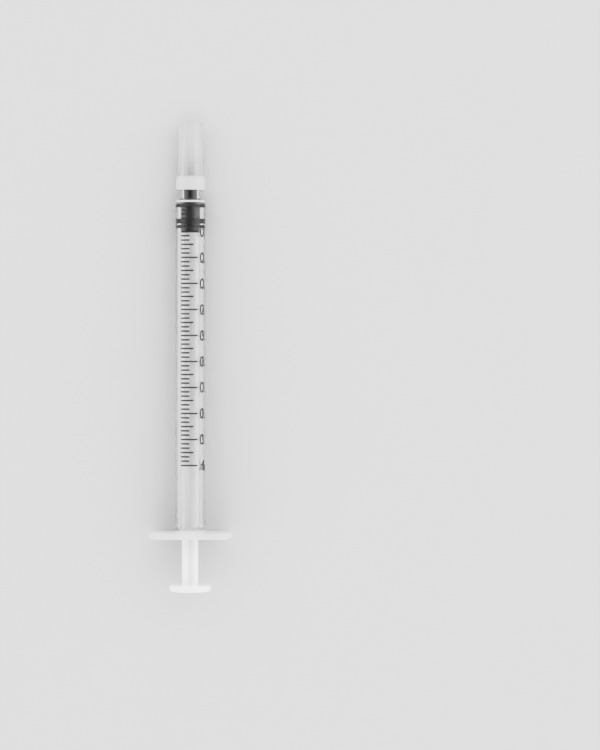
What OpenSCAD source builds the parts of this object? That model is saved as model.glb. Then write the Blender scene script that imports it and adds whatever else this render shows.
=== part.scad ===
// Oral syringe, 1 mL, with a press-on tip cap.
// +Y runs along the barrel towards the tip, +Z is up. The origin is on the barrel's axis,
// in the front face of the finger flange. Sizes are in millimetres.

/* [Capacity] */
// Volume between the zero line and the last line, in cubic millimetres
capacity = 1000; // [950:10:1000]
// Inner radius of the barrel
bore_r = 2.35; // [2.33:0.01:2.36]
// Distance of the zero line from the flange
zero_y = 72.6; // [72.4:0.1:72.6]

/* [Barrel] */
// Outer radius of the barrel
barrel_r = 3.3; // [3.1:0.05:3.4]
// Distance of the bore's closed end from the flange
bore_end_y = 73.25; // [73.2:0.05:73.5]
// Thickness of the barrel's front wall
front_wall = 0.6; // [0.6:0.05:1]
// Height of the retaining bead inside the barrel's open end
bead_height = 0.1; // [0.05:0.01:0.12]

/* [Finger flange] */
// Width of the flange from tip to tip
flange_w = 18.6; // [16:0.2:20]
// Height of the flange between its two flats
flange_h = 10.6; // [9.6:0.2:11]
// Thickness of the flange
flange_t = 1.4; // [1:0.1:1.8]

/* [Nozzle] */
// Distance of the nozzle's end from the flange
nozzle_end_y = 82.6; // [82.2:0.1:83]
// Outer radius of the nozzle at its root
nozzle_root_r = 2.28; // [2.25:0.01:2.3]
// Outer radius of the nozzle at its end
nozzle_end_r = 2.1; // [2.05:0.01:2.15]
// Inner radius of the nozzle
nozzle_bore_r = 1.55; // [1.5:0.01:1.6]
// Radius of the outlet
outlet_r = 0.9; // [0.7:0.1:1.1]

/* [Stopper] */
// Radius of the stopper between its ribs
stopper_r = 2.07; // [2:0.01:2.1]
// Radius of the long nose that fills the nozzle
nose_r = 1.42; // [1.35:0.01:1.44]
// Distance of the nose's tip from the flange
nose_end_y = 81.6; // [81.2:0.1:81.8]

/* [Plunger rod] */
// Radius over the tips of the four fins
rod_r = 2.15; // [2:0.01:2.18]
// Thickness of one fin
fin_t = 1.0; // [0.8:0.1:1.2]
// Radius of the thumb plate
thumb_r = 4.6; // [4:0.1:4.8]
// Thickness of the thumb plate
thumb_t = 1.4; // [1:0.1:1.8]
// Length of rod that shows between the flange and the thumb plate
rod_showing = 10.4; // [9:0.1:12]

/* [Tip cap] */
// Distance of the cap's open end from the flange
cap_open_y = 76.1; // [75.5:0.1:76.2]
// Length of the whole cap
cap_len = 15; // [14:0.1:16]
// Outer radius of the cap's rim
cap_rim_r = 3.2; // [3.1:0.05:3.25]
// Length of the cap's rim
cap_rim_len = 2.8; // [2.5:0.1:3.5]
// Number of grip ribs round the cap
cap_ribs = 18; // [12:1:20]

/* [Printed scale] */
// Number of divisions between two labelled lines
minor_per_label = 6; // [6:2:10]
// Width of a printed line along the barrel
line_w = 0.28; // [0.2:0.02:0.3]
// Height of a numeral
numeral_h = 2.3; // [1.8:0.05:2.4]
// Thickness of the ink
ink_t = 0.02; // [0.01:0.01:0.03]

/* [Fits] */
// Radial gap between the stopper's ribs and the bore
rib_gap = 0.02; // [0.01:0.01:0.05]
// Radial gap between the cap and the nozzle
cap_gap = 0.03; // [0.02:0.01:0.05]
// Gap all round the rod's snap head inside the stopper
head_gap = 0.05; // [0.03:0.01:0.08]

/* [Hidden] */

$fn = 96;
eps = 0.01;

// Barrel and nozzle
shoulder_y = bore_end_y + front_wall;
shoulder_bevel = 0.5;
mouth_r = bore_r + 0.45;
mouth_depth = 0.7;
bead_y = 0.6;
bead_half = 0.4;
nozzle_neck_y = nozzle_end_y - 2;
nozzle_tip_bevel = 0.25;

// Stopper ribs, each [rear, front, length of its bevels]
rib_r = bore_r - rib_gap;
front_rib = [zero_y - 0.35, zero_y + 0.45, 0.15];
middle_rib = [zero_y - 3.92, zero_y - 2.87, 0.2];
rear_rib = [zero_y - 4.95, zero_y - 4.27, 0.15];
stopper_tail_y = zero_y - 5.9;
nose_round = 3;
nose_steps = 8;
socket_neck_r = 1.0;
socket_r = 1.45;
socket_neck_len = 1.2;
socket_end_y = stopper_tail_y + 3.8;

// Plunger rod
rod_disc_t = 0.6;
rod_disc_r = 2.1;
rod_disc_y = stopper_tail_y - head_gap;
thumb_front_y = -flange_t - rod_showing;
thumb_rear_y = thumb_front_y - thumb_t;
grip_ring_depth = 0.18;
grip_ring_w = 0.35;
grip_rings = [2.2, 3.0, 3.8];
thumb_bevel = 0.3;

// Tip cap
cap_end_y = cap_open_y + cap_len;
cap_rim_y = cap_open_y + cap_rim_len;
cap_base_r = 3.0;
cap_top_r = 2.4;
cap_rib_r = 0.22;
cap_rib_proud = 0.1;
cap_seat_y = nozzle_end_y + 0.3;
cap_core_r = 1.75;
cap_top_wall = 1.1;
cap_top_bevel = 0.35;
cap_lead = 0.2;

// Printed scale: angles are measured from the top of the barrel, positive to the right
labels = 10;
stroke = capacity / (PI * bore_r * bore_r);
divisions = labels * minor_per_label;
pitch = stroke / divisions;
line_start_a = -35.2;
short_line_a = 33.6;
medium_line_a = 49.4;
long_line_a = 66.3;
numeral_w = 1.38;
ink_w = 0.29;
zero_digit_a = 54;
point_a = 73;
tenth_digit_a = 98;
one_digit_a = 62;
unit_m_a = 90;
unit_l_a = 117;
lowercase_h = 1.5;
shell_r = barrel_r + ink_t;
patch_a = 60;

function nozzle_outer(y) =
    nozzle_root_r + (nozzle_end_r - nozzle_root_r) * (y - shoulder_y) / (nozzle_end_y - shoulder_y);

function cap_outer(y) =
    cap_base_r + (cap_top_r - cap_base_r) * (y - cap_rim_y) / (cap_end_y - cap_rim_y);

// Points of the nose's rounded end, from its straight side to its tip
function nose_arc() = [
    for (i = [0 : nose_steps])
        let (a = 90 * i / nose_steps)
        [nose_r * cos(a), nose_end_y - nose_round + nose_round * sin(a)]
];

// One rib of the stopper, from rear to front
function rib_points(rib) = [
    [stopper_r, rib[0]],
    [rib_r, rib[0] + rib[2]],
    [rib_r, rib[1] - rib[2]],
    [stopper_r, rib[1]]
];

// Turns a profile of [radius, y] points about the barrel's axis
module turned(points) {
    rotate([-90, 0, 0])
        rotate_extrude()
            polygon(points);
}

// A plain rod on the barrel's axis
module axial_rod(y_from, y_to, r_from, r_to) {
    translate([0, y_from, 0])
        rotate([-90, 0, 0])
            cylinder(h = y_to - y_from, r1 = r_from, r2 = r_to);
}

// ---- barrel ----

module barrel_outside() {
    turned([
        [0, 0],
        [barrel_r, 0],
        [barrel_r, shoulder_y - shoulder_bevel],
        [barrel_r - shoulder_bevel, shoulder_y],
        [nozzle_root_r, shoulder_y],
        [nozzle_outer(nozzle_end_y - nozzle_tip_bevel), nozzle_end_y - nozzle_tip_bevel],
        [nozzle_end_r - nozzle_tip_bevel, nozzle_end_y],
        [0, nozzle_end_y]
    ]);
}

module barrel_inside() {
    axial_rod(bead_y + bead_half, bore_end_y, bore_r, bore_r);
    axial_rod(bore_end_y - eps, nozzle_neck_y, nozzle_bore_r, nozzle_bore_r);
    axial_rod(nozzle_neck_y - eps, nozzle_end_y, nozzle_bore_r, outlet_r);
    axial_rod(nozzle_end_y - eps, nozzle_end_y + 1, outlet_r, outlet_r);
}

// Hourglass opening through the retaining bead, with a wide mouth behind it
module barrel_mouth() {
    bead_r = bore_r - bead_height;
    turned([
        [0, -flange_t - 1],
        [mouth_r, -flange_t - 1],
        [mouth_r, -flange_t],
        [bore_r, -flange_t + mouth_depth],
        [bore_r, bead_y - bead_half],
        [bead_r, bead_y - bead_half / 2],
        [bead_r, bead_y + bead_half / 2],
        [bore_r, bead_y + bead_half],
        [bore_r, bead_y + bead_half + eps],
        [0, bead_y + bead_half + eps]
    ]);
}

module flange_plate() {
    rotate([90, 0, 0])
        linear_extrude(height = flange_t)
            intersection() {
                circle(r = flange_w / 2);
                square([flange_w, flange_h], center = true);
            }
}

module barrel() {
    color([0.88, 0.91, 0.93])
        difference() {
            union() {
                barrel_outside();
                flange_plate();
            }
            barrel_inside();
            barrel_mouth();
        }
}

// ---- stopper ----

module stopper_outside() {
    turned(concat(
        [[0, stopper_tail_y], [stopper_r - 0.15, stopper_tail_y], [stopper_r, stopper_tail_y + 0.15]],
        rib_points(rear_rib),
        rib_points(middle_rib),
        rib_points(front_rib),
        [[nose_r + 0.25, front_rib[1] + 0.05], [nose_r, front_rib[1] + 0.15]],
        nose_arc()
    ));
}

module stopper_socket() {
    neck_end = stopper_tail_y + socket_neck_len;
    axial_rod(stopper_tail_y - 1, neck_end, socket_neck_r, socket_neck_r);
    axial_rod(neck_end - eps, socket_end_y - 0.8, socket_r, socket_r);
    axial_rod(socket_end_y - 0.8 - eps, socket_end_y, socket_r, socket_r / 2);
}

module stopper() {
    color([0.07, 0.07, 0.07])
        difference() {
            stopper_outside();
            stopper_socket();
        }
}

// ---- plunger rod ----

module rod_fins() {
    rotate([90, 45, 0])
        translate([0, 0, -rod_disc_y])
            linear_extrude(height = rod_disc_y - thumb_front_y)
                intersection() {
                    circle(r = rod_r);
                    union() {
                        square([2 * rod_r + 1, fin_t], center = true);
                        square([fin_t, 2 * rod_r + 1], center = true);
                    }
                }
}

// The snap head that the stopper is pushed over
module rod_head() {
    neck_end = stopper_tail_y + socket_neck_len + head_gap;
    head_r = socket_r - head_gap;
    axial_rod(rod_disc_y - eps, neck_end, socket_neck_r - head_gap, socket_neck_r - head_gap);
    axial_rod(neck_end - eps, socket_end_y - 1, head_r, head_r);
    axial_rod(socket_end_y - 1 - eps, socket_end_y - 0.3, head_r, head_r / 2);
}

module thumb_plate() {
    difference() {
        turned([
            [0, thumb_rear_y],
            [thumb_r - thumb_bevel, thumb_rear_y],
            [thumb_r, thumb_rear_y + thumb_bevel],
            [thumb_r, thumb_front_y - thumb_bevel],
            [thumb_r - thumb_bevel, thumb_front_y],
            [0, thumb_front_y]
        ]);
        for (ring_r = grip_rings)
            turned([
                [ring_r - grip_ring_w / 2, thumb_rear_y - 1],
                [ring_r + grip_ring_w / 2, thumb_rear_y - 1],
                [ring_r + grip_ring_w / 2, thumb_rear_y + grip_ring_depth],
                [ring_r - grip_ring_w / 2, thumb_rear_y + grip_ring_depth]
            ]);
    }
}

module plunger_rod() {
    color([0.93, 0.94, 0.94])
        union() {
            thumb_plate();
            rod_fins();
            axial_rod(rod_disc_y - rod_disc_t, rod_disc_y, rod_disc_r, rod_disc_r);
            rod_head();
        }
}

// ---- tip cap ----

module cap_rib() {
    rib_start = cap_rim_y - eps;
    rib_end = cap_end_y - cap_top_bevel - cap_rib_r;
    slope = atan((cap_base_r - cap_top_r) / (cap_end_y - cap_rim_y));
    translate([0, rib_start, cap_base_r - cap_rib_r + cap_rib_proud])
        rotate([-90 - slope, 0, 0])
            cylinder(h = rib_end - rib_start, r = cap_rib_r, $fn = 24);
}

module cap_outside() {
    turned([
        [0, cap_open_y],
        [cap_rim_r - 0.1, cap_open_y],
        [cap_rim_r, cap_open_y + 0.1],
        [cap_rim_r, cap_rim_y - 0.1],
        [cap_rim_r - 0.1, cap_rim_y],
        [cap_base_r, cap_rim_y],
        [cap_outer(cap_end_y - cap_top_bevel), cap_end_y - cap_top_bevel],
        [cap_top_r - cap_top_bevel, cap_end_y],
        [0, cap_end_y]
    ]);
    for (i = [0 : cap_ribs - 1])
        rotate([0, i * 360 / cap_ribs, 0])
            cap_rib();
}

module cap_inside() {
    turned([
        [0, cap_open_y - 1],
        [nozzle_outer(cap_open_y) + cap_gap + cap_lead, cap_open_y - 1],
        [nozzle_outer(cap_open_y) + cap_gap + cap_lead, cap_open_y],
        [nozzle_outer(cap_open_y + cap_lead) + cap_gap, cap_open_y + cap_lead],
        [nozzle_outer(nozzle_end_y) + cap_gap, nozzle_end_y],
        [nozzle_outer(nozzle_end_y) + cap_gap, cap_seat_y],
        [cap_core_r, cap_seat_y],
        [cap_core_r, cap_end_y - cap_top_wall],
        [0, cap_end_y - cap_top_wall]
    ]);
}

module tip_cap() {
    color([0.95, 0.96, 0.96])
        difference() {
            cap_outside();
            cap_inside();
        }
}

// ---- printed scale ----

// One printed line round the barrel, from start_a over span_a degrees
module ink_line(y, start_a, span_a) {
    translate([0, y - line_w / 2, 0])
        rotate([-90, 0, 0])
            rotate([0, 0, start_a - 90])
                rotate_extrude(angle = span_a)
                    translate([barrel_r, 0])
                        square([ink_t, line_w]);
}

function line_span(i) =
    i % minor_per_label == 0 ? long_line_a
    : i % (minor_per_label / 2) == 0 ? medium_line_a
    : short_line_a;

module graduation_lines() {
    color([0.05, 0.05, 0.05])
        for (i = [0 : divisions])
            ink_line(zero_y - i * pitch, line_start_a, line_span(i));
}

// Straight stroke between two points
module stroke_line(a, b) {
    d = b - a;
    translate(a)
        rotate(atan2(d[1], d[0]))
            translate([-ink_w / 2, -ink_w / 2])
                square([norm(d) + ink_w, ink_w]);
}

// Curved stroke about a centre, from angle a_from over a_span degrees, below 360
module stroke_arc(centre, r, a_from, a_span) {
    reach = 3 * r;
    steps = ceil(a_span / 60);
    wedge = [
        for (i = [0 : steps])
            let (a = a_from + a_span * i / steps)
            [reach * cos(a), reach * sin(a)]
    ];
    translate(centre)
        intersection() {
            difference() {
                circle(r = r + ink_w / 2);
                circle(r = r - ink_w / 2);
            }
            polygon(concat([[0, 0]], wedge));
        }
}

module stroke_ring(centre, r) {
    translate(centre)
        difference() {
            circle(r = r + ink_w / 2);
            circle(r = r - ink_w / 2);
        }
}

// Upright oval ring about a centre
module stroke_oval(centre, half_w, half_h) {
    translate(centre)
        difference() {
            scale([half_w + ink_w / 2, half_h + ink_w / 2])
                circle(r = 1);
            scale([half_w - ink_w / 2, half_h - ink_w / 2])
                circle(r = 1);
        }
}

// The strokes of one digit, in a cell numeral_w wide and numeral_h high
module digit(n) {
    left = ink_w / 2;
    right = numeral_w - ink_w / 2;
    low = ink_w / 2;
    high = numeral_h - ink_w / 2;
    mid_x = numeral_w / 2;
    mid_y = numeral_h / 2;
    bowl = (right - left) / 2;
    top_bowl = (high - mid_y) / 2;
    low_bowl = (mid_y - low) / 2;
    if (n == 0)
        stroke_oval([mid_x, mid_y], bowl, mid_y - low);
    if (n == 1) {
        stroke_line([mid_x + 0.3, low], [mid_x + 0.3, high]);
        stroke_line([mid_x + 0.3, high], [mid_x - 0.25, high - 0.5]);
    }
    if (n == 2) {
        stroke_arc([mid_x, high - bowl], bowl, -35, 200);
        stroke_line([mid_x + bowl * cos(35), high - bowl - bowl * sin(35)], [left, low]);
        stroke_line([left, low], [right, low]);
    }
    if (n == 3) {
        stroke_arc([mid_x, high - top_bowl], top_bowl, -90, 240);
        stroke_arc([mid_x, low + low_bowl], low_bowl, -150, 240);
    }
    if (n == 4) {
        stroke_line([right - 0.25, low], [right - 0.25, high]);
        stroke_line([right - 0.25, high], [left, low + 0.6]);
        stroke_line([left, low + 0.6], [right, low + 0.6]);
    }
    if (n == 5) {
        stroke_line([left + 0.1, high], [right, high]);
        stroke_line([left + 0.1, high], [left + 0.1, mid_y]);
        stroke_arc([mid_x - 0.05, low + bowl], bowl, -150, 280);
    }
    if (n == 6) {
        stroke_ring([mid_x, low + bowl], bowl);
        stroke_line([left, low + bowl], [left, high - bowl]);
        stroke_arc([mid_x, high - bowl], bowl, 40, 140);
    }
    if (n == 7) {
        stroke_line([left, high], [right, high]);
        stroke_line([right, high], [left + 0.35, low]);
    }
    if (n == 8) {
        stroke_ring([mid_x, high - top_bowl], top_bowl);
        stroke_ring([mid_x, low + low_bowl], low_bowl);
    }
    if (n == 9)
        translate([numeral_w, numeral_h])
            rotate(180)
                digit(6);
}

module decimal_point() {
    square([ink_w + 0.06, ink_w + 0.06]);
}

module letter_m() {
    arch = 0.3;
    for (i = [0 : 2])
        stroke_line([ink_w / 2 + 2 * arch * i, ink_w / 2], [ink_w / 2 + 2 * arch * i, lowercase_h - arch]);
    for (i = [0 : 1])
        stroke_arc([ink_w / 2 + arch + 2 * arch * i, lowercase_h - arch - ink_w / 2], arch, 0, 180);
}

module letter_l() {
    stroke_line([ink_w / 2, numeral_h - ink_w / 2], [ink_w / 2, ink_w / 2]);
    stroke_line([ink_w / 2, ink_w / 2], [numeral_w - 0.3, ink_w / 2]);
}

// Stands a flat mark of the given width on the barrel, centred on an angle
module on_barrel(y, a, mark_w) {
    intersection() {
        ink_patch(y, a);
        rotate([0, a, 0])
            translate([-mark_w / 2, y - numeral_h / 2, 0])
                linear_extrude(height = shell_r + 1)
                    children();
    }
}

// The stretch of ink film that one numeral is cut from
module ink_patch(y, a) {
    translate([0, y - numeral_h, 0])
        rotate([-90, 0, 0])
            rotate([0, 0, a - 90 - patch_a / 2])
                rotate_extrude(angle = patch_a)
                    translate([barrel_r, 0])
                        square([ink_t, 2 * numeral_h]);
}

module label_marks(i) {
    y = zero_y - i * minor_per_label * pitch;
    if (i < labels) {
        on_barrel(y, zero_digit_a, numeral_w) digit(0);
        on_barrel(y, point_a, ink_w) decimal_point();
        on_barrel(y, tenth_digit_a, numeral_w) digit(i);
    } else {
        on_barrel(y, one_digit_a, numeral_w) digit(1);
        on_barrel(y, unit_m_a, 1.5) letter_m();
        on_barrel(y, unit_l_a, numeral_w) letter_l();
    }
}

module scale_numerals() {
    color([0.05, 0.05, 0.05])
        for (i = [1 : labels])
            label_marks(i);
}

barrel();
stopper();
plunger_rod();
tip_cap();
graduation_lines();
scale_numerals();
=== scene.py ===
import math

import bpy
from mathutils import Matrix, Vector


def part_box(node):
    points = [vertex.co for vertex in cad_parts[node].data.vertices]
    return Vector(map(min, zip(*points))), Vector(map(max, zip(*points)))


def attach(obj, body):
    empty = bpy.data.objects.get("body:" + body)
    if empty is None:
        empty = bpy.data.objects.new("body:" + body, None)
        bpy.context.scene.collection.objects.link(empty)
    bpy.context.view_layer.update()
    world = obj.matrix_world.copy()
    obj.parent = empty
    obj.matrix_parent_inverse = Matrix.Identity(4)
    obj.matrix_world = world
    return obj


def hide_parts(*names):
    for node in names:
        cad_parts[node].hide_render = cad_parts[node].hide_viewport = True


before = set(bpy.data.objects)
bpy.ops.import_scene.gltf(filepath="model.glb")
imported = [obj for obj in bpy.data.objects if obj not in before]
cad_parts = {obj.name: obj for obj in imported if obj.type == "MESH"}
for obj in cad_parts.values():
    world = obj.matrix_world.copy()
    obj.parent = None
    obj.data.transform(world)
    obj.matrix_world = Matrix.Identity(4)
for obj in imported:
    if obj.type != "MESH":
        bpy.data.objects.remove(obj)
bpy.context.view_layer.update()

# Lengths below are in millimetres, along the barrel's axis (y) and out from it (r), and are turned
# into metres where a mesh is made. Angles round the barrel start at the top and grow to the right.
MM = 0.001


def node_box(node):
    """Lowest and highest corner of a CAD node, in millimetres."""
    low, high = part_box(node)
    return low / MM, high / MM


barrel_low, barrel_high = node_box("barrel")
stopper_low, stopper_high = node_box("stopper")
rod_low, rod_high = node_box("plunger_rod")
cap_low, cap_high = node_box("tip_cap")

# Barrel
FLANGE_T = -barrel_low.y
FLANGE_R = barrel_high.x
FLANGE_HALF_H = barrel_high.z
NOZZLE_END_Y = barrel_high.y
BARREL_R = 3.3
BORE_R = 2.35
BORE_END_Y = 73.25
SHOULDER_Y = 73.85
NOZZLE_ROOT_R = 2.28
NOZZLE_END_R = 2.1
NOZZLE_BORE_R = 1.55
OUTLET_R = 0.9
MOUTH_R = 2.8
BEAD_H = 0.1
SHOULDER_ROUND = 0.5
TUBE_ROOT_ROUND = 0.35
FLANGE_EDGE_ROUND = 0.35
FLANGE_CORNER_SHARPNESS = 22
TEXTURE_NEAR_FLANGE_Y = 1.05

# Stopper
RIB_R = BORE_R + 0.008
NOSE_END_Y = stopper_high.y
TAIL_Y = stopper_low.y
ZERO_LINE_Y = TAIL_Y + 5.9
FRONT_RIB = (ZERO_LINE_Y - 0.35, ZERO_LINE_Y + 0.45)
MIDDLE_RIB = (ZERO_LINE_Y - 3.92, ZERO_LINE_Y - 2.87)
REAR_RIB = (ZERO_LINE_Y - 4.95, ZERO_LINE_Y - 4.27)
STOPPER_R = 2.07
GROOVE_R = STOPPER_R + 0.03
NOSE_R = 1.42
NOSE_ROUND = 3.0
SOCKET_NECK_R = 1.0
SOCKET_NECK_LEN = 1.2
SOCKET_R = 1.45
SOCKET_END_Y = TAIL_Y + 3.8

# Plunger rod
HEAD_GAP = 0.05
ROD_R = 2.15
FIN_HALF_T = 0.5
FIN_ROOT_ROUND = 0.28
FIN_TIP_ROUND = 0.16
DISC_R = 2.1
DISC_T = 0.6
DISC_Y = TAIL_Y - HEAD_GAP
THUMB_R = rod_high.x
THUMB_REAR_Y = rod_low.y
THUMB_T = 1.4
THUMB_FRONT_Y = THUMB_REAR_Y + THUMB_T
GRIP_RING_RADII = (3.8, 3.0, 2.2)
GRIP_RING_DEPTH = 0.16

# Tip cap
CAP_OPEN_Y = cap_low.y
CAP_END_Y = cap_high.y
CAP_RIM_R = 3.19
CAP_RIM_Y = CAP_OPEN_Y + 2.8
CAP_BASE_R = 3.0
CAP_TOP_R = 2.4
CAP_GAP = 0.03
CAP_CORE_R = 1.75
CAP_RIBS = 18
CAP_RIB_PROUD = 0.1
CAP_RIB_FADE = 0.3
CAP_TOP_WALL = 1.1


# ---- mesh building ----

def unit(x, y):
    length = math.hypot(x, y)
    return x / length, y / length


def rounded_path(corners, closed=False, steps=5, hold=0.04):
    """Points of a path through corners (r, y, fillet), with an arc at each corner that has a fillet.

    A holding point before and after each arc keeps the straight stretches flat when shaded smooth.
    """
    path = []
    count = len(corners)
    for i, (r, y, fillet) in enumerate(corners):
        at_end = i in (0, count - 1) and not closed
        if at_end or fillet <= 0:
            path.append((r, y))
            continue
        before = corners[i - 1]
        after = corners[(i + 1) % count]
        to_before = unit(before[0] - r, before[1] - y)
        to_after = unit(after[0] - r, after[1] - y)
        cosine = to_before[0] * to_after[0] + to_before[1] * to_after[1]
        half = math.acos(max(-1.0, min(1.0, cosine))) / 2
        reach = fillet / math.tan(half)
        mid = unit(to_before[0] + to_after[0], to_before[1] + to_after[1])
        centre_r = r + mid[0] * fillet / math.sin(half)
        centre_y = y + mid[1] * fillet / math.sin(half)
        start = (r + to_before[0] * reach, y + to_before[1] * reach)
        end = (r + to_after[0] * reach, y + to_after[1] * reach)
        a_start = math.atan2(start[1] - centre_y, start[0] - centre_r)
        a_end = math.atan2(end[1] - centre_y, end[0] - centre_r)
        turn = (a_end - a_start + math.pi) % (2 * math.pi) - math.pi
        path.append((start[0] + to_before[0] * hold, start[1] + to_before[1] * hold))
        for k in range(steps + 1):
            a = a_start + turn * k / steps
            path.append((centre_r + fillet * math.cos(a), centre_y + fillet * math.sin(a)))
        path.append((end[0] + to_after[0] * hold, end[1] + to_after[1] * hold))
    return path


def even_angles(count):
    return [2 * math.pi * i / count for i in range(count)]


def ring(angles, r, y):
    """A ring about the axis. r is a number, or one radius for each angle."""
    radii = r if isinstance(r, list) else [r] * len(angles)
    return [(q * math.sin(a), y, q * math.cos(a)) for q, a in zip(radii, angles)]


def lathe_rings(path, angles):
    return [ring(angles, r, y) if r > 1e-6 else [(0.0, y, 0.0)] for r, y in path]


def loft(name, rings, loop=False, sharp_deg=40, second=()):
    """A closed mesh through rings of points. A ring of one point is a pole. loop joins last to first.

    The faces that start at the rings numbered in second get the piece's second material.
    """
    points = []
    starts = []
    for r in rings:
        starts.append(len(points))
        points.extend(r)
    faces = []
    slots = []
    pairs = list(zip(range(len(rings) - 1), range(1, len(rings))))
    if loop:
        pairs.append((len(rings) - 1, 0))
    for i, j in pairs:
        n, m = len(rings[i]), len(rings[j])
        a, b = starts[i], starts[j]
        for k in range(max(n, m)):
            k2 = (k + 1) % max(n, m)
            if n == 1:
                faces.append((a, b + k2, b + k))
            elif m == 1:
                faces.append((a + k, a + k2, b))
            else:
                faces.append((a + k, a + k2, b + k2, b + k))
            slots.append(1 if i in second else 0)
    mesh = bpy.data.meshes.new(name)
    mesh.from_pydata([Vector(p) * MM for p in points], [], faces)
    mesh.polygons.foreach_set("material_index", slots)
    mesh.validate()
    mesh.update()
    volume = sum(
        mesh.vertices[p.vertices[0]].co.dot(
            mesh.vertices[p.vertices[k]].co.cross(mesh.vertices[p.vertices[k + 1]].co)
        )
        for p in mesh.polygons
        for k in range(1, len(p.vertices) - 1)
    )
    if volume < 0:
        mesh.flip_normals()
    mesh.shade_smooth()
    mesh.set_sharp_from_angle(angle=math.radians(sharp_deg))
    piece = bpy.data.objects.new(name, mesh)
    bpy.context.scene.collection.objects.link(piece)
    return piece


def place(piece, body, materials, node):
    """Puts a finished piece on its body, in its materials, in place of its CAD node."""
    for material in materials:
        piece.data.materials.append(material)
    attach(piece, body)
    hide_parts(node)


# ---- pieces ----

def nozzle_r(y):
    share = (y - SHOULDER_Y) / (NOZZLE_END_Y - SHOULDER_Y)
    return NOZZLE_ROOT_R + (NOZZLE_END_R - NOZZLE_ROOT_R) * share


def flange_radii(angles, inset):
    """Outline of the flange, a circle cut by two flats with soft corners, moved in by inset."""
    sharpness = FLANGE_CORNER_SHARPNESS
    r, h = FLANGE_R - inset, FLANGE_HALF_H - inset
    radii = []
    for a in angles:
        flat = h / max(1e-6, abs(math.cos(a)))
        radii.append((r ** -sharpness + flat ** -sharpness) ** (-1 / sharpness))
    return radii


def textured_rings(path, first):
    """Numbers of the rings at the shoulder and near the flange, where the mould is textured."""
    shoulder_from = SHOULDER_Y - SHOULDER_ROUND + 0.01
    shoulder_to = SHOULDER_Y + 0.05
    numbers = []
    for i, (r, y) in enumerate(path):
        at_shoulder = shoulder_from < y < shoulder_to and r > NOZZLE_END_R
        if at_shoulder or y < TEXTURE_NEAR_FLANGE_Y:
            numbers.append(first + i)
    return numbers


def barrel_outside_path():
    """From the outlet over the nozzle, the shoulder and the tube to the flange's front face."""
    return rounded_path([
        (OUTLET_R, NOZZLE_END_Y, 0),
        (NOZZLE_END_R, NOZZLE_END_Y, 0.25),
        (NOZZLE_ROOT_R, SHOULDER_Y, 0.4),
        (BARREL_R, SHOULDER_Y, SHOULDER_ROUND),
        (BARREL_R, 0, TUBE_ROOT_ROUND),
        (BARREL_R + TUBE_ROOT_ROUND + 0.2, 0, 0),
    ])


def flange_rings(angles):
    """The flange's front face, its rounded edge and its back face."""
    steps = 5
    turns = [math.pi / 2 * k / steps for k in range(steps + 1)]
    face_radii = flange_radii(angles, FLANGE_EDGE_ROUND + 0.1)
    rings = [ring(angles, face_radii, 0)]
    for a in turns:
        inset = FLANGE_EDGE_ROUND * (1 - math.sin(a))
        rings.append(ring(angles, flange_radii(angles, inset), -FLANGE_EDGE_ROUND * (1 - math.cos(a))))
    for a in turns:
        inset = FLANGE_EDGE_ROUND * (1 - math.cos(a))
        y = -FLANGE_T + FLANGE_EDGE_ROUND * (1 - math.sin(a))
        rings.append(ring(angles, flange_radii(angles, inset), y))
    rings.append(ring(angles, face_radii, -FLANGE_T))
    return rings


def barrel_inside_path():
    """From the flange's back face into the mouth, over the retaining bead and on to the outlet."""
    return rounded_path([
        (MOUTH_R + 0.6, -FLANGE_T, 0),
        (MOUTH_R, -FLANGE_T, 0.2),
        (BORE_R, -FLANGE_T + 0.7, 0.3),
        (BORE_R, 0.2, 0.15),
        (BORE_R - BEAD_H, 0.4, 0.15),
        (BORE_R - BEAD_H, 0.8, 0.15),
        (BORE_R, 1.0, 0.15),
        (BORE_R, BORE_END_Y, 0.12),
        (NOZZLE_BORE_R, BORE_END_Y, 0.12),
        (NOZZLE_BORE_R, NOZZLE_END_Y - 2, 0.4),
        (OUTLET_R, NOZZLE_END_Y, 0),
    ])


def make_barrel():
    angles = even_angles(256)
    outside = barrel_outside_path()
    inside = barrel_inside_path()[:-1]
    rings = lathe_rings(outside, angles)
    frosted = textured_rings(outside, 0)
    flange_from = len(rings) - 1
    rings += flange_rings(angles)
    frosted += range(flange_from, len(rings))
    frosted += textured_rings(inside, len(rings))
    rings += lathe_rings(inside, angles)
    return loft("barrel_body", rings, loop=True, second=frosted)


def stopper_nose_path():
    """The long nose, from its tip to where its side runs straight."""
    steps = 14
    path = [(0, NOSE_END_Y)]
    for k in range(steps - 1, 0, -1):
        a = math.pi / 2 * k / steps
        path.append((NOSE_R * math.cos(a), NOSE_END_Y - NOSE_ROUND + NOSE_ROUND * math.sin(a)))
    return path


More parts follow.
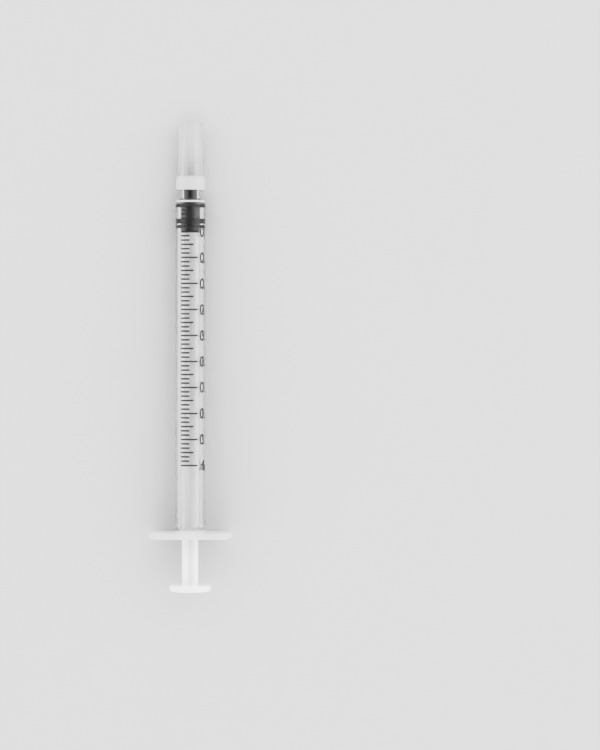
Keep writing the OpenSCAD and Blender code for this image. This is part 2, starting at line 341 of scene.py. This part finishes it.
def stopper_body_path():
    """From the side of the nose over the three ribs and round the tail into the socket."""
    return rounded_path([
        (NOSE_R, NOSE_END_Y - NOSE_ROUND, 0),
        (NOSE_R, FRONT_RIB[1] + 0.15, 0.1),
        (NOSE_R + 0.3, FRONT_RIB[1] + 0.05, 0.08),
        (RIB_R, FRONT_RIB[1], 0.05),
        (RIB_R, FRONT_RIB[0], 0.05),
        (STOPPER_R, FRONT_RIB[0] - 0.04, 0.15),
        (STOPPER_R, MIDDLE_RIB[1] + 0.04, 0.15),
        (RIB_R, MIDDLE_RIB[1], 0.05),
        (RIB_R, MIDDLE_RIB[0], 0.05),
        (GROOVE_R, MIDDLE_RIB[0] - 0.03, 0.1),
        (GROOVE_R, REAR_RIB[1] + 0.03, 0.1),
        (RIB_R, REAR_RIB[1], 0.05),
        (RIB_R, REAR_RIB[0], 0.05),
        (STOPPER_R, REAR_RIB[0] - 0.03, 0.1),
        (STOPPER_R, TAIL_Y, 0.15),
        (SOCKET_NECK_R, TAIL_Y, 0.08),
        (SOCKET_NECK_R, TAIL_Y + SOCKET_NECK_LEN, 0.05),
        (SOCKET_R, TAIL_Y + SOCKET_NECK_LEN, 0.05),
        (SOCKET_R, SOCKET_END_Y - 0.8, 0.15),
        (SOCKET_R / 2, SOCKET_END_Y, 0.15),
        (0, SOCKET_END_Y, 0),
    ], hold=0.02)


def make_stopper():
    path = stopper_nose_path() + stopper_body_path()
    return loft("stopper_rubber", lathe_rings(path, even_angles(128)), sharp_deg=50)


def fin_outline():
    """Angles and radii of the cross of four fins, with rounded roots and tips."""
    root = FIN_ROOT_ROUND
    tip = FIN_TIP_ROUND
    steps = 4
    tip_half = math.asin((FIN_HALF_T - tip) / (ROD_R - tip))
    tip_centre = (ROD_R - tip) * math.cos(tip_half)
    half_fin = [(ROD_R * math.cos(tip_half * k / 3), ROD_R * math.sin(tip_half * k / 3)) for k in range(3)]
    for k in range(steps + 1):
        a = tip_half + (math.pi / 2 - tip_half) * k / steps
        half_fin.append((tip_centre + tip * math.cos(a), FIN_HALF_T - tip + tip * math.sin(a)))
    half_fin.append((tip_centre - 0.05, FIN_HALF_T))
    half_fin.append((FIN_HALF_T + root + 0.05, FIN_HALF_T))
    for k in range(steps + 1):
        a = -math.pi / 2 - math.pi / 4 * k / steps
        half_fin.append((FIN_HALF_T + root + root * math.cos(a), FIN_HALF_T + root + root * math.sin(a)))
    fin = [(x, -y) for x, y in half_fin[:0:-1]] + half_fin[:-1]
    angles, radii = [], []
    for quarter in range(4):
        for x, y in fin:
            angles.append(math.atan2(y, x) + math.pi / 4 + quarter * math.pi / 2)
            radii.append(math.hypot(x, y))
    return angles, radii


def rod_front_path():
    """Snap head, neck and the disc that pushes the stopper, from the axis to the back of the disc."""
    head_r = SOCKET_R - HEAD_GAP
    neck_r = SOCKET_NECK_R - HEAD_GAP
    return rounded_path([
        (0, SOCKET_END_Y - 0.3, 0),
        (head_r / 2, SOCKET_END_Y - 0.3, 0.1),
        (head_r, SOCKET_END_Y - 1, 0.12),
        (head_r, TAIL_Y + SOCKET_NECK_LEN + HEAD_GAP, 0.08),
        (neck_r, TAIL_Y + SOCKET_NECK_LEN + HEAD_GAP, 0.06),
        (neck_r, DISC_Y, 0.1),
        (DISC_R, DISC_Y, 0.12),
        (DISC_R, DISC_Y - DISC_T, 0.1),
        (DISC_R - 0.14, DISC_Y - DISC_T, 0),
    ], hold=0.02)


def rod_fin_rings(angles, fins):
    """The fins, from the back of the disc to the fillet that joins them to the thumb plate."""
    root = 0.3
    disc_back = DISC_Y - DISC_T
    necked = [min(r, DISC_R - 0.18) for r in fins]
    rings = [ring(angles, necked, disc_back), ring(angles, necked, disc_back - 0.06)]
    fins_from = disc_back - 0.2
    fins_to = THUMB_FRONT_Y + root
    stretches = 24
    for k in range(stretches):
        rings.append(ring(angles, fins, fins_from + (fins_to - fins_from) * k / stretches))
    for k in range(6):
        a = math.pi / 2 * k / 5
        flare = root * (1 - math.cos(a))
        rings.append(ring(angles, [r + flare for r in fins], THUMB_FRONT_Y + root * (1 - math.sin(a))))
    return rings


def thumb_plate_path():
    """The thumb plate, from its front to the axis, with three grip rings and the mark of the gate."""
    grip_rings = []
    for r in GRIP_RING_RADII:
        grip_rings += [
            (r + 0.2, THUMB_REAR_Y, 0.06),
            (r + 0.12, THUMB_REAR_Y + GRIP_RING_DEPTH, 0.05),
            (r - 0.12, THUMB_REAR_Y + GRIP_RING_DEPTH, 0.05),
            (r - 0.2, THUMB_REAR_Y, 0.06),
        ]
    return rounded_path([
        (THUMB_R - 0.9, THUMB_FRONT_Y, 0),
        (THUMB_R, THUMB_FRONT_Y, 0.4),
        (THUMB_R, THUMB_REAR_Y, 0.4),
        *grip_rings,
        (0.7, THUMB_REAR_Y, 0.1),
        (0.62, THUMB_REAR_Y + 0.25, 0.08),
        (0.3, THUMB_REAR_Y + 0.25, 0.05),
        (0.27, THUMB_REAR_Y + 0.1, 0.04),
        (0, THUMB_REAR_Y + 0.1, 0),
    ], hold=0.01, steps=4)


def make_plunger_rod():
    angles, fins = fin_outline()
    rings = lathe_rings(rod_front_path(), angles)
    rings += rod_fin_rings(angles, fins)
    rings += lathe_rings(thumb_plate_path(), angles)
    return loft("plunger_body", rings, sharp_deg=45)


def cap_outer_r(y):
    return CAP_BASE_R + (CAP_TOP_R - CAP_BASE_R) * (y - CAP_RIM_Y) / (CAP_END_Y - CAP_RIM_Y)


def cap_bore_r(y):
    return nozzle_r(y) + CAP_GAP


def cap_top_path():
    """Closed end with a shallow gate dimple and the nub of the gate, from the axis to the side."""
    return rounded_path([
        (0, CAP_END_Y - 0.06, 0),
        (0.3, CAP_END_Y - 0.06, 0.05),
        (0.34, CAP_END_Y - 0.22, 0.06),
        (0.8, CAP_END_Y - 0.22, 0.1),
        (0.95, CAP_END_Y, 0.12),
        (CAP_TOP_R, CAP_END_Y, 0.45),
        (cap_outer_r(CAP_END_Y - 0.6), CAP_END_Y - 0.6, 0),
    ], hold=0.02)


def cap_grip_rings(angles):
    """The ribbed side, from the closed end to the rim. The ribs fade in and out at their ends."""
    crest = [max(0.0, math.cos(CAP_RIBS * a)) ** 0.7 for a in angles]
    rib_from = CAP_RIM_Y + 0.35
    rib_to = CAP_END_Y - 0.75
    fade = CAP_RIB_FADE
    levels = [rib_to - fade * k / 5 for k in range(6)]
    levels += [rib_to - fade - (rib_to - rib_from - 2 * fade) * k / 20 for k in range(1, 20)]
    levels += [rib_from + fade - fade * k / 5 for k in range(6)]
    rings = []
    for y in levels:
        share = max(0.0, min(1.0, (y - rib_from) / fade, (rib_to - y) / fade))
        height = CAP_RIB_PROUD * math.sin(math.pi / 2 * share)
        rings.append(ring(angles, [cap_outer_r(y) + height * c for c in crest], y))
    return rings


def cap_rim_path():
    """The smooth rim and the cap's open end."""
    return rounded_path([
        (cap_outer_r(CAP_RIM_Y + 0.25), CAP_RIM_Y + 0.25, 0),
        (CAP_BASE_R, CAP_RIM_Y, 0.08),
        (CAP_RIM_R, CAP_RIM_Y, 0.12),
        (CAP_RIM_R, CAP_OPEN_Y, 0.15),
        (cap_bore_r(CAP_OPEN_Y) + 0.2, CAP_OPEN_Y, 0.1),
        (cap_bore_r(CAP_OPEN_Y + 0.2), CAP_OPEN_Y + 0.2, 0.1),
        (cap_bore_r(CAP_RIM_Y), CAP_RIM_Y, 0),
    ], hold=0.02)


def cap_inside_path():
    """The seat round the nozzle and the hollow core beyond it."""
    return rounded_path([
        (cap_bore_r(CAP_RIM_Y) - 0.001, CAP_RIM_Y + 0.01, 0),
        (cap_bore_r(NOZZLE_END_Y), NOZZLE_END_Y, 0),
        (cap_bore_r(NOZZLE_END_Y), NOZZLE_END_Y + 0.3, 0.1),
        (CAP_CORE_R, NOZZLE_END_Y + 0.3, 0.1),
        (CAP_CORE_R, CAP_END_Y - CAP_TOP_WALL, 0.5),
        (0, CAP_END_Y - CAP_TOP_WALL, 0),
    ], hold=0.02)


def make_tip_cap():
    angles = even_angles(CAP_RIBS * 12)
    rings = lathe_rings(cap_top_path(), angles) + cap_grip_rings(angles)
    rim_from = len(rings)
    rings += lathe_rings(cap_rim_path(), angles)
    rim_to = len(rings) - 1
    rings += lathe_rings(cap_inside_path(), angles)
    return loft("cap_body", rings, sharp_deg=50, second=range(rim_from, rim_to))


# ---- materials ----

def new_material(name):
    material = bpy.data.materials.new(name)
    material.use_nodes = True
    nodes = material.node_tree.nodes
    links = material.node_tree.links
    return material, nodes, links, nodes["Principled BSDF"]


def object_coordinates(nodes, links, scale):
    """Coordinates that ride with the piece, with one scale for each axis, in features per metre."""
    where = nodes.new("ShaderNodeTexCoord")
    mapping = nodes.new("ShaderNodeMapping")
    mapping.inputs["Scale"].default_value = scale
    links.new(where.outputs["Object"], mapping.inputs["Vector"])
    return mapping.outputs["Vector"]


def noise(nodes, links, vector, detail):
    node = nodes.new("ShaderNodeTexNoise")
    node.inputs["Scale"].default_value = 1.0
    node.inputs["Detail"].default_value = detail
    node.inputs["Roughness"].default_value = 0.55
    links.new(vector, node.inputs["Vector"])
    return node.outputs["Fac"]


def spread(nodes, links, value, low, high, from_low=0.3, from_high=0.7):
    node = nodes.new("ShaderNodeMapRange")
    node.inputs["From Min"].default_value = from_low
    node.inputs["From Max"].default_value = from_high
    node.inputs["To Min"].default_value = low
    node.inputs["To Max"].default_value = high
    links.new(value, node.inputs["Value"])
    return node.outputs["Result"]


def bump(nodes, links, height, strength, distance_mm, normal=None):
    node = nodes.new("ShaderNodeBump")
    node.inputs["Strength"].default_value = strength
    node.inputs["Distance"].default_value = distance_mm * MM
    links.new(height, node.inputs["Height"])
    if normal:
        links.new(normal, node.inputs["Normal"])
    return node.outputs["Normal"]


def mix_colours(nodes, links, share, first, second):
    node = nodes.new("ShaderNodeMix")
    node.data_type = "RGBA"
    node.inputs["A"].default_value = (*first, 1)
    node.inputs["B"].default_value = (*second, 1)
    links.new(share, node.inputs["Factor"])
    return node.outputs["Result"]


def moulded_plastic(name, colours, ior, roughness, transmission, subsurface, grain_mm, flow_mm):
    """A moulded polyolefin: fine surface grain, long flow marks and slightly uneven gloss."""
    material, nodes, links, shader = new_material(name)
    shader.inputs["IOR"].default_value = ior
    shader.inputs["Transmission Weight"].default_value = transmission
    shader.inputs["Subsurface Weight"].default_value = subsurface
    shader.inputs["Subsurface Radius"].default_value = (1.0, 1.0, 1.0)
    shader.inputs["Subsurface Scale"].default_value = 1.2 * MM
    flow = noise(nodes, links, object_coordinates(nodes, links, (900, 60, 900)), detail=3)
    grain = noise(nodes, links, object_coordinates(nodes, links, (9000, 6000, 9000)), detail=2)
    cloud = noise(nodes, links, object_coordinates(nodes, links, (260, 160, 260)), detail=5)
    links.new(mix_colours(nodes, links, cloud, *colours), shader.inputs["Base Color"])
    links.new(spread(nodes, links, cloud, *roughness), shader.inputs["Roughness"])
    waves = bump(nodes, links, flow, 0.5, flow_mm)
    links.new(bump(nodes, links, grain, 0.5, grain_mm, waves), shader.inputs["Normal"])
    return material


def clear_barrel_plastic():
    return moulded_plastic(
        "clear_polypropylene", colours=((1.0, 1.0, 1.0), (0.993, 0.995, 0.995)), ior=1.46,
        roughness=(0.04, 0.09), transmission=1.0, subsurface=0.0, grain_mm=0.0006, flow_mm=0.004)


def frosted_flange_plastic():
    return moulded_plastic(
        "frosted_polypropylene", colours=((0.985, 0.987, 0.987), (0.96, 0.963, 0.963)), ior=1.46,
        roughness=(0.35, 0.5), transmission=0.35, subsurface=0.0, grain_mm=0.003, flow_mm=0.004)


def rod_plastic():
    return moulded_plastic(
        "natural_polypropylene", colours=((0.955, 0.957, 0.957), (0.935, 0.938, 0.938)), ior=1.49,
        roughness=(0.25, 0.36), transmission=0.0, subsurface=0.2, grain_mm=0.0015, flow_mm=0.006)


def cap_plastic():
    return moulded_plastic(
        "translucent_polyethylene", colours=((1.0, 1.0, 1.0), (0.985, 0.988, 0.988)), ior=1.5,
        roughness=(0.2, 0.26), transmission=0.72, subsurface=0.0, grain_mm=0.0015, flow_mm=0.006)


def cap_rim_plastic():
    return moulded_plastic(
        "thick_polyethylene", colours=((0.97, 0.972, 0.972), (0.945, 0.948, 0.948)), ior=1.5,
        roughness=(0.3, 0.42), transmission=0.45, subsurface=0.0, grain_mm=0.002, flow_mm=0.006)


def black_rubber():
    material, nodes, links, shader = new_material("black_rubber")
    shader.inputs["IOR"].default_value = 1.52
    cloud = noise(nodes, links, object_coordinates(nodes, links, (500, 500, 500)), detail=5)
    grain = noise(nodes, links, object_coordinates(nodes, links, (7000, 7000, 7000)), detail=3)
    links.new(mix_colours(nodes, links, cloud, (0.006, 0.006, 0.0065), (0.014, 0.014, 0.0145)),
              shader.inputs["Base Color"])
    links.new(spread(nodes, links, cloud, 0.32, 0.5), shader.inputs["Roughness"])
    links.new(bump(nodes, links, grain, 0.6, 0.004), shader.inputs["Normal"])
    return material


def printed_ink():
    material, nodes, links, shader = new_material("printed_ink")
    shader.inputs["IOR"].default_value = 1.5
    cloud = noise(nodes, links, object_coordinates(nodes, links, (2500, 2500, 2500)), detail=6)
    grain = noise(nodes, links, object_coordinates(nodes, links, (12000, 12000, 12000)), detail=2)
    links.new(mix_colours(nodes, links, cloud, (0.008, 0.008, 0.009), (0.03, 0.03, 0.032)),
              shader.inputs["Base Color"])
    links.new(spread(nodes, links, cloud, 0.35, 0.6), shader.inputs["Roughness"])
    links.new(bump(nodes, links, grain, 0.5, 0.003), shader.inputs["Normal"])
    return material


def table_surface():
    material, nodes, links, shader = new_material("table_surface")
    cloud = noise(nodes, links, object_coordinates(nodes, links, (40, 40, 40)), detail=6)
    links.new(mix_colours(nodes, links, cloud, (0.675, 0.675, 0.675), (0.7, 0.7, 0.7)),
              shader.inputs["Base Color"])
    shader.inputs["Roughness"].default_value = 0.85
    return material


# ---- the object ----

place(make_barrel(), "barrel", [clear_barrel_plastic(), frosted_flange_plastic()], "barrel")
place(make_stopper(), "stopper", [black_rubber()], "stopper")
place(make_plunger_rod(), "plunger_rod", [rod_plastic()], "plunger_rod")
place(make_tip_cap(), "tip_cap", [cap_plastic(), cap_rim_plastic()], "tip_cap")

ink = printed_ink()
for node in ("graduation_lines", "scale_numerals"):
    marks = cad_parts[node]
    marks.data.materials.clear()
    marks.data.materials.append(ink)


# ---- table, lights and camera ----

# Distances of the light and camera are in metres, the camera's framing is in millimetres
SOFTBOX_OFFSET = Vector((1.0, 0.2, 0.9))
SOFTBOX_SIZE = (1.6, 1.8)
SOFTBOX_POWER = 2.6
ROOM_BRIGHTNESS = 1.42
OVERHEAD_BRIGHTNESS = 0.15
CAMERA_DISTANCE = 0.6
CAMERA_TILT = math.radians(2.15)
CAMERA_ROLL = math.radians(0.09)
VIEW_HEIGHT = 167.04
AXIS_LEFT_OF_MIDDLE = 24.43
ZERO_LINE_ABOVE_MIDDLE = 37.57

# The syringe lies on its flange's flat and on the cap's rim, so the table is not quite square to it
rest_slope = math.atan2(FLANGE_HALF_H - CAP_RIM_R, CAP_RIM_Y)
up = Vector((0, -math.sin(rest_slope), math.cos(rest_slope)))
along = Vector((0, math.cos(rest_slope), math.sin(rest_slope)))
foot = Vector((0, 0, -FLANGE_HALF_H * MM)) - up * 0.02 * MM


def add_table():
    half = 3.0
    right = Vector((1, 0, 0))
    mesh = bpy.data.meshes.new("table")
    corners = [foot + right * sx * half + along * sy * half
               for sx, sy in ((-1, -1), (1, -1), (1, 1), (-1, 1))]
    mesh.from_pydata(corners, [], [(0, 1, 2, 3)])
    table = bpy.data.objects.new("table", mesh)
    bpy.context.scene.collection.objects.link(table)
    table.data.materials.append(table_surface())


def add_area_light(name, where, target, size, power):
    data = bpy.data.lights.new(name, "AREA")
    data.shape = "RECTANGLE"
    data.size, data.size_y = size
    data.energy = power
    light = bpy.data.objects.new(name, data)
    light.location = where
    light.rotation_euler = (target - where).to_track_quat("-Z", "Y").to_euler()
    bpy.context.scene.collection.objects.link(light)


def add_world(strength, overhead):
    """A white room, with a darker oval patch overhead, long across the syringe and short along it."""
    world = bpy.data.worlds.new("studio")
    world.use_nodes = True
    nodes = world.node_tree.nodes
    links = world.node_tree.links
    direction = nodes.new("ShaderNodeTexCoord")
    flattened = nodes.new("ShaderNodeVectorMath")
    flattened.operation = "MULTIPLY"
    flattened.inputs[1].default_value = (1.0, 1.6, 0.0)
    links.new(direction.outputs["Generated"], flattened.inputs[0])
    reach = nodes.new("ShaderNodeVectorMath")
    reach.operation = "LENGTH"
    links.new(flattened.outputs["Vector"], reach.inputs[0])
    core = math.sin(math.radians(25))
    edge = math.sin(math.radians(62))
    level = spread(nodes, links, reach.outputs["Value"], overhead, strength, core, edge)
    links.new(level, nodes["Background"].inputs["Strength"])
    nodes["Background"].inputs["Color"].default_value = (1.0, 1.0, 1.0, 1)
    bpy.context.scene.world = world


def set_tone():
    """Standard colours, with the bright end rolled off as a camera does it to white plastic."""
    view = bpy.context.scene.view_settings
    view.view_transform = "Standard"
    view.use_curve_mapping = True
    tone = view.curve_mapping
    tone.clip_max_x = 1.6
    curve = tone.curves[3]
    curve.points[-1].location = (1.6, 0.95)
    for brightness, shown in ((0.3, 0.315), (0.6, 0.65), (0.8, 0.75), (1.05, 0.845)):
        curve.points.new(brightness, shown)
    tone.update()


def add_camera():
    """Looks down on the middle of the layout, where the syringe lies to the left."""
    target = Vector((AXIS_LEFT_OF_MIDDLE, ZERO_LINE_Y - ZERO_LINE_ABOVE_MIDDLE, 0)) * MM
    data = bpy.data.cameras.new("camera")
    data.sensor_width = 36
    data.lens = CAMERA_DISTANCE / (VIEW_HEIGHT * MM) * data.sensor_width
    camera = bpy.data.objects.new("camera", data)
    back = up * math.cos(CAMERA_TILT) + along * math.sin(CAMERA_TILT)
    side = Vector((math.cos(CAMERA_ROLL), math.sin(CAMERA_ROLL), 0))
    side = (side - back * side.dot(back)).normalized()
    camera.matrix_world = Matrix((side, back.cross(side), back)).transposed().to_4x4()
    camera.location = target + back * CAMERA_DISTANCE
    bpy.context.scene.collection.objects.link(camera)
    bpy.context.scene.camera = camera


middle = Vector((0, (barrel_low.y + CAP_END_Y) / 2 * MM, 0))
add_table()
add_area_light("softbox", middle + SOFTBOX_OFFSET, middle, SOFTBOX_SIZE, SOFTBOX_POWER)
add_world(ROOM_BRIGHTNESS, OVERHEAD_BRIGHTNESS)
set_tone()
add_camera()
